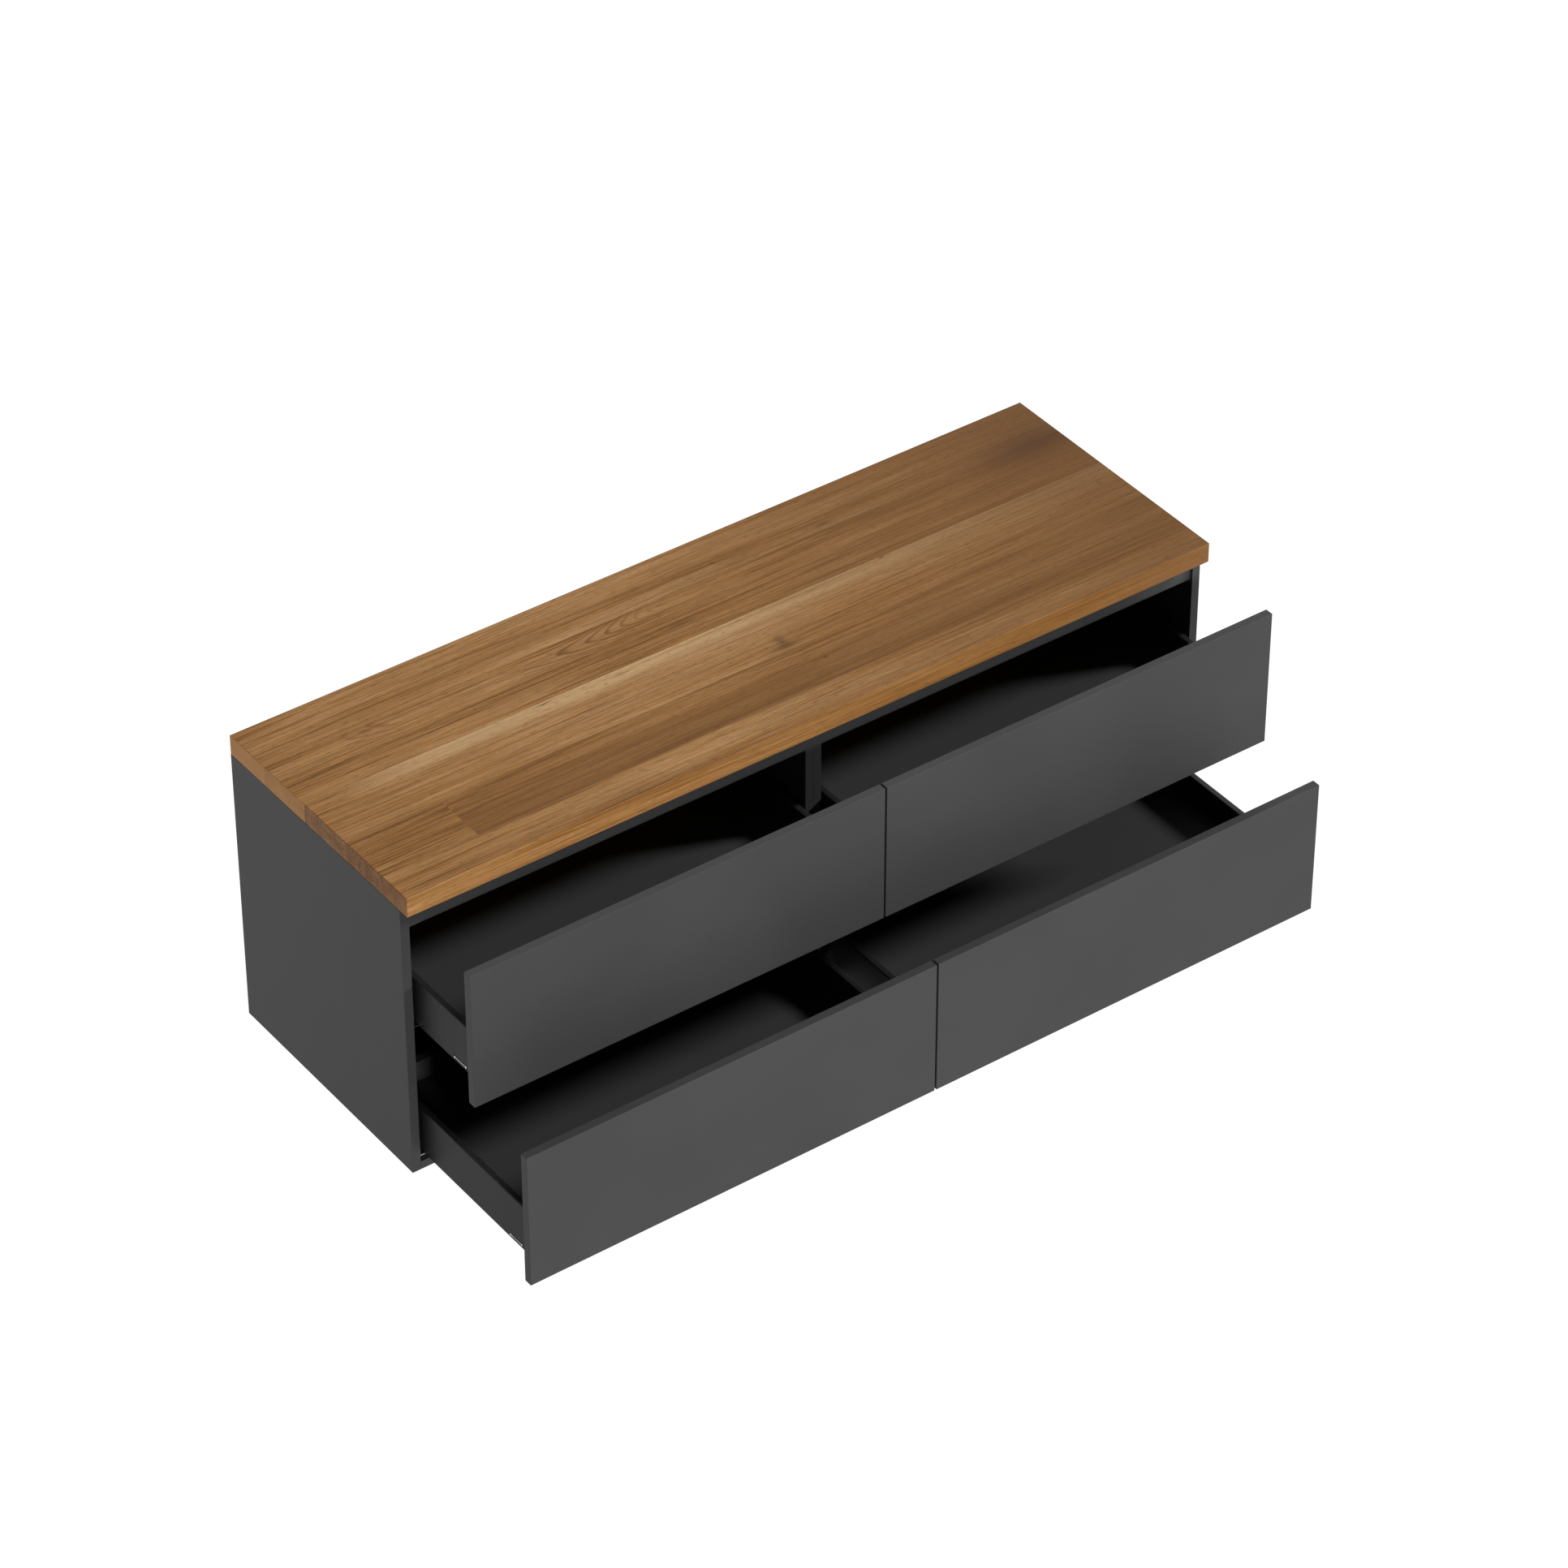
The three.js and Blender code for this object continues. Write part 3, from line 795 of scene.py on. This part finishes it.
def dome(bm, centre, radius, height, axis):
    """Adds a low round pad, such as a bumper or a stud, that rises from its centre."""
    turn = Vector((0, 0, 1)).rotation_difference(Vector(axis)).to_matrix().to_4x4()
    stretch = Matrix.Diagonal((radius, radius, height, 1.0))
    place = Matrix.Translation(centre) @ turn @ stretch
    made = bmesh.ops.create_uvsphere(bm, u_segments=20, v_segments=10, radius=1.0)["verts"]
    lower = [v for v in made if v.co.z < -1e-4]
    bmesh.ops.delete(bm, geom=lower, context="VERTS")
    rest = [v for v in made if v.is_valid]
    rim = [e for e in bm.edges if e.is_boundary and all(v in rest for v in e.verts)]
    bmesh.ops.contextual_create(bm, geom=rim)
    bmesh.ops.transform(bm, matrix=place, verts=rest)


def bumpers(prefix):
    """Four pads on the back of a drawer's front."""
    low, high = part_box(f"{prefix}_front")
    bm = bmesh.new()
    for x in (low.x + BUMPER_FROM_END, high.x - BUMPER_FROM_END):
        for z in (low.z + BUMPER_FROM_EDGE, high.z - BUMPER_FROM_EDGE):
            dome(bm, (x, high.y, z), BUMPER_RADIUS, BUMPER_HEIGHT, (0, 1, 0))
    return finished(f"{prefix}_bumpers", bm, NYLON, f"{prefix}_drawer")


for prefix in DRAWERS:
    body = f"{prefix}_drawer"
    eased_slab(f"{prefix}_front_slab", f"{prefix}_front", FRONT_ROUND, 3, ANTHRACITE, body)
    eased_slab(f"{prefix}_base_board", f"{prefix}_base", BASE_ROUND, 2, MELAMINE, body)
    eased_slab(f"{prefix}_back_board", f"{prefix}_back", BACK_ROUND, 2, MELAMINE, body)
    bumpers(prefix)
print(len(DRAWERS), "drawers with front, base, back and bumpers")

# %% [markdown]
# ## Drawer sides
# A drawer side is sheet steel folded into a slim double wall, with a skin that hangs down on the
# outside and hides the runner. Its section is one polygon, run from the drawer's rear to its
# front. Only the upper edges get a round that the eye can see. The catch of the runner comes
# through a slot in the skin: four cuts mark the slot on both faces of the skin, the faces inside
# the cuts are taken out, and a bridge between the two holes makes the slot's walls.

# %% Drawer sides
SKIN = 2.0 * MM
RUNNER_SPACE = 28.0 * MM
SIDE_ROUND = 2.0 * MM
SLOT_MARGIN = 1.0 * MM
CATCH_LOW, CATCH_HIGH = 5.0 * MM, 8.0 * MM
CATCH_SETBACK, CATCH_LENGTH = 38.0 * MM, 35.0 * MM


def hand_of(prefix, hand):
    """The side's low and high corner, its outer X and the direction to the drawer's middle."""
    low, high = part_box(f"{prefix}_side_{hand}")
    return (low, high, low.x, 1) if hand == "l" else (low, high, high.x, -1)


def slot_ends(prefix):
    """Front and rear of the catch along Y."""
    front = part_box(f"{prefix}_front")[1].y + CATCH_SETBACK
    return front, front + CATCH_LENGTH


def long_edges(bm):
    """The edges that run from front to rear."""
    return [e for e in bm.edges if abs(e.verts[0].co.y - e.verts[1].co.y) > 10 * MM]


def mark(bm, faces, normal, place):
    """Cuts a line across some faces, where a plane with this normal meets them."""
    around = {g for f in faces for g in (f, *f.edges, *f.verts)}
    bmesh.ops.bisect_plane(bm, geom=list(around), plane_co=normal * place, plane_no=normal,
                           dist=HAIR / 10)


def cut_slot(bm, outer, inward, low_y, high_y, low_z, high_z):
    """A rectangular hole through the skin between its outer and inner face."""
    inner = outer + inward * SKIN
    for axis, places in ((1, (low_y, high_y)), (2, (low_z, high_z))):
        for value in places:
            skin = [f for f in bm.faces if abs(f.normal.x) > 0.9 and max(
                min(abs(v.co.x - x) for x in (outer, inner)) for v in f.verts) < HAIR * 10]
            mark(bm, skin, Vector((0, axis == 1, axis == 2)), value)
    inside = [f for f in bm.faces if abs(f.normal.x) > 0.9 and
              low_y < f.calc_center_median().y < high_y and
              low_z < f.calc_center_median().z < high_z]
    bmesh.ops.delete(bm, geom=inside, context="FACES")
    rims = [e for e in bm.edges if e.is_boundary]
    bmesh.ops.bridge_loops(bm, edges=rims)


def drawer_side(prefix, hand):
    """A folded steel side with the slot for its catch."""
    low, high, outer, inward = hand_of(prefix, hand)
    depth = high.x - low.x
    section = [(0, low.z), (SKIN, low.z), (SKIN, low.z + RUNNER_SPACE),
               (depth, low.z + RUNNER_SPACE), (depth, high.z), (0, high.z)]
    bm = profile_prism([(outer + inward * u, high.y, z) for u, z in section],
                       (0, low.y - high.y, 0))
    bm.normal_update()
    top = [e for e in long_edges(bm) if min(v.co.z for v in e.verts) > high.z - HAIR]
    ease(bm, top, SIDE_ROUND, 5)
    bm.normal_update()
    front, rear = slot_ends(prefix)
    cut_slot(bm, outer, inward, front - SLOT_MARGIN, rear + SLOT_MARGIN,
             low.z + CATCH_LOW - SLOT_MARGIN, low.z + CATCH_HIGH + SLOT_MARGIN)
    return finished(f"{prefix}_side_{hand}_steel", bm, POWDER, f"{prefix}_drawer",
                    [f"{prefix}_side_{hand}"])


for prefix in DRAWERS:
    for hand in "lr":
        made = drawer_side(prefix, hand)
print("drawer sides, the last with", len(made.data.polygons), "faces")

# %% [markdown]
# ## Runners
# A drawer runs on three members of zinc-plated sheet, 1.5 mm thick. The cabinet rail is screwed to
# the carcass, the middle rail is a box that slides in it, and the drawer rail is a channel under
# the drawer's base that hooks over the middle rail. Sheet parts are folded from a strip, and so
# they are here: a line of edges is the strip's outer face, it is pulled out along Y, the bends
# are rounded, and the sheet is thickened towards its inside.

# %% Folding a strip of sheet
SHEET = 1.5 * MM
BEND = 1.2 * MM


def fold(bm, section, low_y, high_y, inside, closed=False):
    """Adds sheet folded along a section of (x, z) points, thickened towards an inside point."""
    start = [bm.verts.new((x, low_y, z)) for x, z in section]
    follow = start[1:] + start[:1] if closed else start[1:]
    strip = [bm.edges.new(pair) for pair in zip(start, follow)]
    grown = bmesh.ops.extrude_edge_only(bm, edges=strip)["geom"]
    moved = [v for v in grown if isinstance(v, bmesh.types.BMVert)]
    bmesh.ops.translate(bm, verts=moved, vec=(0, high_y - low_y, 0))
    own = set(start + moved)
    bends = [e for e in long_edges(bm) if own.issuperset(e.verts) and len(e.link_faces) == 2]
    before = {f for f in bm.faces if not own.issuperset(f.verts)}
    if bends:
        ease(bm, bends, BEND, 3)
    faces = [f for f in bm.faces if f not in before]
    bmesh.ops.recalc_face_normals(bm, faces=faces)
    largest = max(faces, key=lambda f: f.calc_area())
    towards = Vector((inside[0], largest.calc_center_median().y, inside[1]))
    if largest.normal.dot(towards - largest.calc_center_median()) > 0:
        bmesh.ops.reverse_faces(bm, faces=faces)
    bmesh.ops.solidify(bm, geom=faces, thickness=SHEET)


print("sheet", SHEET / MM, "mm with bends of", round(BEND / MM, 1), "mm")

# %% [markdown]
# ## Screws
# A pan-head screw is a low dome with a cross recess. The head is a short cylinder with a rounded
# rim. Eight cuts across its top face mark the cross, and the marked faces are pushed in. The head
# is made upright at the origin in a bmesh of its own, where up and down are easy to tell, and then
# turned and set into the piece that it holds.

# %% Screws
HEAD_RADIUS = 3.6 * MM
HEAD_HEIGHT = 1.8 * MM
HEAD_ROUND = HEAD_HEIGHT * 0.55
CROSS_WIDTH = 0.5 * MM
CROSS_REACH = 2.0 * MM
CROSS_DEPTH = 0.9 * MM


def screw_head(bm, centre, axis):
    """Adds a pan head that rises from its centre along an axis."""
    one = bmesh.new()
    bmesh.ops.create_cone(one, cap_ends=True, segments=24, radius1=HEAD_RADIUS,
                          radius2=HEAD_RADIUS, depth=HEAD_HEIGHT)
    rim = [e for e in one.edges if all(v.co.z > 0 for v in e.verts)]
    ease(one, rim, HEAD_ROUND, 4)
    top = max(v.co.z for v in one.verts) - HAIR
    for normal in (Vector((1, 0, 0)), Vector((0, 1, 0))):
        for place in (-CROSS_REACH, -CROSS_WIDTH, CROSS_WIDTH, CROSS_REACH):
            mark(one, [f for f in one.faces if f.calc_center_median().z > top], normal, place)

    def in_cross(face):
        middle = face.calc_center_median()
        near, far = sorted(abs(c) for c in middle.xy)
        return middle.z > top and near < CROSS_WIDTH and far < CROSS_REACH

    cross = [f for f in one.faces if in_cross(f)]
    deep = bmesh.ops.extrude_face_region(one, geom=cross)["geom"]
    bmesh.ops.delete(one, geom=cross, context="FACES_ONLY")
    bmesh.ops.translate(one, verts=[g for g in deep if isinstance(g, bmesh.types.BMVert)],
                        vec=(0, 0, -CROSS_DEPTH))
    turn = Vector((0, 0, 1)).rotation_difference(Vector(axis)).to_matrix().to_4x4()
    seat = Matrix.Translation(Vector(centre)) @ turn @ Matrix.Translation((0, 0, HEAD_HEIGHT / 2))
    bmesh.ops.transform(one, matrix=seat, verts=one.verts)
    mesh = bpy.data.meshes.new("screw")
    one.to_mesh(mesh)
    one.free()
    bm.from_mesh(mesh)
    bpy.data.meshes.remove(mesh)


print("screw heads", round(HEAD_RADIUS * 2 / MM, 1), "mm wide")

# %% [markdown]
# ## Cabinet rail and middle rail
# The cabinet rail has a tall flange against the cabinet wall, a floor, and two lips that guide the
# middle rail. The near lip is a strip of its own, welded to the floor. Three screws go through
# the flange. The middle rail is a tube with round corners and a shallow groove along each side, in
# which the balls of the real runner would run.

# %% Cabinet rails and middle rails
WALL_BEHIND = 8.5 * MM                        # from the drawer side's skin out to the cabinet wall
LIP_NEAR, LIP_FAR, LIP_TOP = 24.0 * MM, 44.0 * MM, 10.0 * MM
RAIL_INSIDE = 10 * MM
SCREW_PLACES = (0.08, 0.50, 0.92)             # shares of the rail's length
SCREW_RAISED = 2 * MM                         # over the middle of the flange
GROOVE_DEPTH, GROOVE_HALF = 0.9 * MM, 3 * MM


def section_of(prefix, hand):
    """The X of the cabinet wall, the inward direction and the Z of the drawer side's low edge."""
    low, high, outer, inward = hand_of(prefix, hand)
    return outer - inward * WALL_BEHIND, inward, low.z


def cabinet_rail(prefix, hand):
    """A flange, a floor and two lips of folded sheet, with its three screws."""
    name = f"{prefix}_cabinet_rail_{hand}"
    low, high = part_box(name)
    wall, inward, edge = section_of(prefix, hand)
    bm = bmesh.new()
    near, lip, far = (wall + inward * u for u in (TOUCH_GAP, LIP_NEAR, LIP_FAR))
    middle = (wall + inward * RAIL_INSIDE, high.z)
    fold(bm, [(near, high.z), (near, low.z), (far, low.z), (far, edge + LIP_TOP)],
         low.y, high.y, middle)
    lip_floor = low.z + SHEET
    fold(bm, [(lip, edge + LIP_TOP), (lip, lip_floor)], low.y, high.y, (far, lip_floor))
    height = (low.z + high.z) / 2 + SCREW_RAISED
    for share in SCREW_PLACES:
        place = (near + inward * SHEET, low.y + (high.y - low.y) * share, height)
        screw_head(bm, place, (inward, 0, 0))
    return finished(name + "_zinc", bm, ZINC, "carcass", [name])


def middle_rail(prefix, hand):
    """A closed tube of sheet with a groove for the balls along each side."""
    name = f"{prefix}_middle_rail_{hand}"
    low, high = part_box(name)
    middle = (low.z + high.z) / 2
    under, over = middle - GROOVE_HALF, middle + GROOVE_HALF
    left = [(low.x, low.z), (low.x, under), (low.x + GROOVE_DEPTH, middle),
            (low.x, over), (low.x, high.z)]
    right = [(high.x, high.z), (high.x, over), (high.x - GROOVE_DEPTH, middle),
             (high.x, under), (high.x, low.z)]
    bm = bmesh.new()
    fold(bm, left + right, low.y, high.y, ((low.x + high.x) / 2, middle), closed=True)
    return finished(name + "_zinc", bm, ZINC, f"{prefix}_middle_{hand}", [name])


for prefix in DRAWERS:
    for hand in "lr":
        cabinet_rail(prefix, hand)
        made = middle_rail(prefix, hand)
print("cabinet and middle rails, the last with", len(made.data.polygons), "faces")

# %% [markdown]
# ## Drawer rail and its catch
# The drawer rail is a channel with its open side down. Near the front a strap leaves its top
# plate, goes down beside the drawer side's skin and turns out through the slot. What shows outside
# is a narrow bright tongue, with a round stud at each of its ends. The strap is folded like the
# rail, and the tongue is a thin eased bar.

# %% Drawer rails with catches
TONGUE_HEIGHT = 1.5 * MM
STUD_RADIUS = 1.9 * MM
STUD_HEIGHT = 0.7 * MM
TONGUE_ROUND = 0.25 * MM
TONGUE_OVERLAP = 0.5 * MM                     # how far the tongue reaches into the strap
STRAP_OFFSET, TIP_OFFSET = 10.8 * MM, 7.0 * MM   # both from the cabinet wall
RAIL_DEPTH = 15.5 * MM


def drawer_rail(prefix, hand):
    """The channel under the drawer's base, with the strap and the tongue of its catch."""
    name = f"{prefix}_drawer_rail_{hand}"
    low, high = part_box(name)
    wall, inward, edge = section_of(prefix, hand)
    near, far = wall + inward * LIP_NEAR, wall + inward * LIP_FAR
    plate = edge + RUNNER_SPACE - TOUCH_GAP
    lip = plate - RAIL_DEPTH
    bm = bmesh.new()
    fold(bm, [(near, lip), (near, plate), (far, plate), (far, lip)], low.y, high.y,
         ((near + far) / 2, lip))
    front, rear = slot_ends(prefix)
    strap = wall + inward * STRAP_OFFSET
    middle_z = edge + (CATCH_LOW + CATCH_HIGH) / 2
    fold(bm, [(strap, middle_z - TONGUE_HEIGHT / 2), (strap, plate), (near, plate)],
         front, rear, (near, middle_z))
    tip = wall + inward * (TIP_OFFSET + STUD_HEIGHT)
    left, right = sorted((tip, strap + inward * TONGUE_OVERLAP))
    bar = box_into(bm, (left, front, middle_z - TONGUE_HEIGHT / 2),
                   (right, rear, middle_z + TONGUE_HEIGHT / 2))
    ease(bm, list({e for v in bar for e in v.link_edges}), TONGUE_ROUND, 2)
    for y in (front + STUD_RADIUS, rear - STUD_RADIUS):
        dome(bm, (tip, y, middle_z), STUD_RADIUS, STUD_HEIGHT, (-inward, 0, 0))
    return finished(name + "_zinc", bm, ZINC, f"{prefix}_drawer", [name])


for prefix in DRAWERS:
    for hand in "lr":
        made = drawer_rail(prefix, hand)
print("drawer rails, the last with", len(made.data.polygons), "faces")

# %% [markdown]
# ## Small fittings on the drawers
# The hollow drawer sides are closed at their rear by a nylon plug, and near the front an oval cap
# hides the screw that sets the front's height. Two screws at each end of the low back board hold
# it. An oval is a stadium: two half circles joined, which a bevel of a flat box gives when its
# offset is nearly half the box's height.

# %% Caps and plugs on the drawer sides
CAP_LENGTH, CAP_HEIGHT, CAP_PROUD = 34 * MM, 12 * MM, 0.7 * MM
CAP_ROUND = CAP_HEIGHT * 0.49
CAP_SETBACK = 30 * MM
CAP_ABOVE = 62 * MM
PLUG_PROUD = 1.2 * MM
PLUG_INSET = 0.6 * MM
PLUG_ROUND = 1.5 * MM
SCREW_FROM_END, SCREW_FROM_EDGE = 12 * MM, 10 * MM


def rounded_plate(bm, low, high, axis, radius):
    """A flat plate whose corners are rounded round one axis."""
    corners = box_into(bm, low, high)
    across = [e for e in {e for v in corners for e in v.link_edges}
              if abs((e.verts[0].co - e.verts[1].co).normalized()[axis]) > 0.9]
    ease(bm, across, radius, 8)


def cap_and_plug(prefix, hand):
    """The oval cap on a side's inner face, and the plug in its rear end."""
    low, high, outer, inward = hand_of(prefix, hand)
    inner = outer + inward * (high.x - low.x)
    proud = inner + inward * CAP_PROUD
    bm = bmesh.new()
    cap_y, cap_z = low.y + CAP_SETBACK, low.z + CAP_ABOVE
    rounded_plate(bm, (min(inner, proud), cap_y - CAP_LENGTH / 2, cap_z - CAP_HEIGHT / 2),
                  (max(inner, proud), cap_y + CAP_LENGTH / 2, cap_z + CAP_HEIGHT / 2),
                  0, CAP_ROUND)
    left, right = sorted((outer, inner))
    rounded_plate(bm, (left + PLUG_INSET, high.y, low.z + RUNNER_SPACE + PLUG_INSET),
                  (right - PLUG_INSET, high.y + PLUG_PROUD, high.z - PLUG_INSET), 1, PLUG_ROUND)
    return finished(f"{prefix}_cap_{hand}", bm, NYLON, f"{prefix}_drawer")


def back_screws(prefix):
    """Two screws at each end of a drawer's back board."""
    low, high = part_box(f"{prefix}_back")
    bm = bmesh.new()
    for x in (low.x + SCREW_FROM_END, high.x - SCREW_FROM_END):
        for z in (low.z + SCREW_FROM_EDGE, high.z - SCREW_FROM_EDGE):
            screw_head(bm, (x, high.y, z), (0, 1, 0))
    return finished(f"{prefix}_back_screws", bm, ZINC, f"{prefix}_drawer")


for prefix in DRAWERS:
    back_screws(prefix)
    for hand in "lr":
        cap_and_plug(prefix, hand)
print("caps, plugs and screws on", len(DRAWERS), "drawers")

# %% [markdown]
# ## Hanging hardware
# The cabinet hangs by four steel plates that are screwed to the front of the hanging rail, near its
# ends and on both sides of its middle. Four smaller ones on the lower rail keep it from tipping.
# Each plate has rounded corners and four screws, so one function makes a whole row of them.

# %% Hanging plates
PLATE_THICK = 2 * MM
PLATE_ROUND = 6 * MM
PLATE_FROM_END, PLATE_FROM_MIDDLE = 62 * MM, 82 * MM
PLATE_SCREWS = (-0.34, 0.34)                  # shares of the plate's width and height


def hanging_plates(node, width, height):
    """Four plates on the front of a rear rail."""
    low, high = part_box(node)
    middle = (low.z + high.z) / 2
    bm = bmesh.new()
    for x in (low.x + PLATE_FROM_END, -PLATE_FROM_MIDDLE, PLATE_FROM_MIDDLE,
              high.x - PLATE_FROM_END):
        rounded_plate(bm, (x - width / 2, low.y - PLATE_THICK, middle - height / 2),
                      (x + width / 2, low.y, middle + height / 2), 1, PLATE_ROUND)
        for across in PLATE_SCREWS:
            for up in PLATE_SCREWS:
                screw_head(bm, (x + width * across, low.y - PLATE_THICK, middle + height * up),
                           (0, -1, 0))
    return finished(node + "_plates", bm, ZINC, "carcass")


hanging_plates("hanging_rail", 64 * MM, 52 * MM)
hanging_plates("lower_back_rail", 40 * MM, 40 * MM)
print("eight hanging plates")
